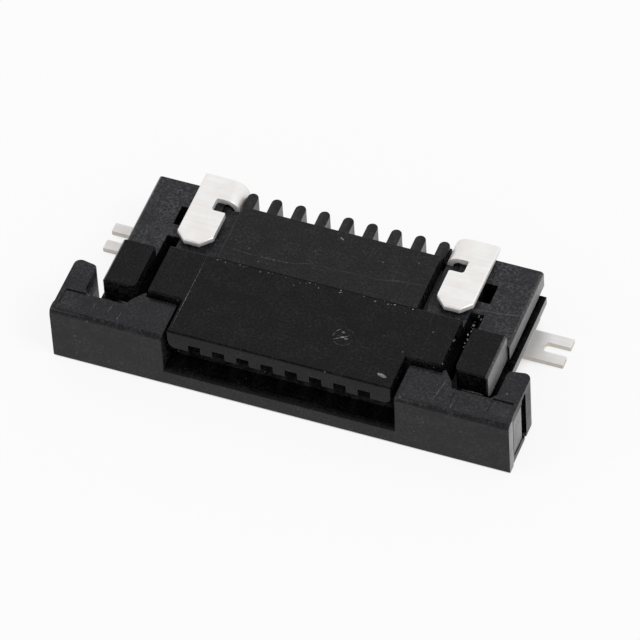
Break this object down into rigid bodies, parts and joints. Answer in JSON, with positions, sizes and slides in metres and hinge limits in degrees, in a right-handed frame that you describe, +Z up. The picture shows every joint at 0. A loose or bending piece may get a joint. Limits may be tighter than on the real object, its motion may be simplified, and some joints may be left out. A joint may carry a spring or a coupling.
{
  "type": "fpc connector",
  "caption": "Right-angle surface-mount connector for a flat flexible cable, with a pull-out slider lock, upper contacts and side solder forks.",
  "frame": {"origin": "on the board plane, at the middle of the connector's length and of its depth from the slider's front face to the ends of the solder tails", "axes": "+X along the row of contacts, -Y out of the cable mouth, +Y towards the solder tails, +Z up from the board"},
  "size_m": [0.0194, 0.009, 0.0031],
  "materials": {
    "black_moulding": "fine satin moulding, black",
    "slider_moulding": "satin moulding, black",
    "tin_plate": "satin tin plate over a copper alloy",
    "contact_metal": "phosphor bronze with tin-plated tails"
  },
  "bodies": {
    "base": {"housing": "black_moulding", "contact_1": "contact_metal", "contact_2": "contact_metal", "contact_3": "contact_metal", "contact_4": "contact_metal", "contact_5": "contact_metal", "contact_6": "contact_metal", "contact_7": "contact_metal", "contact_8": "contact_metal", "fitting_nail_left": "tin_plate", "fitting_nail_right": "tin_plate"},
    "slider": {"slider": "slider_moulding"}
  },
  "joints": [
    {"name": "slider_pull", "type": "slide", "parent": "base", "child": "slider", "axis": [0, -1, 0], "range_m": [0, 0.0012]}
  ]
}
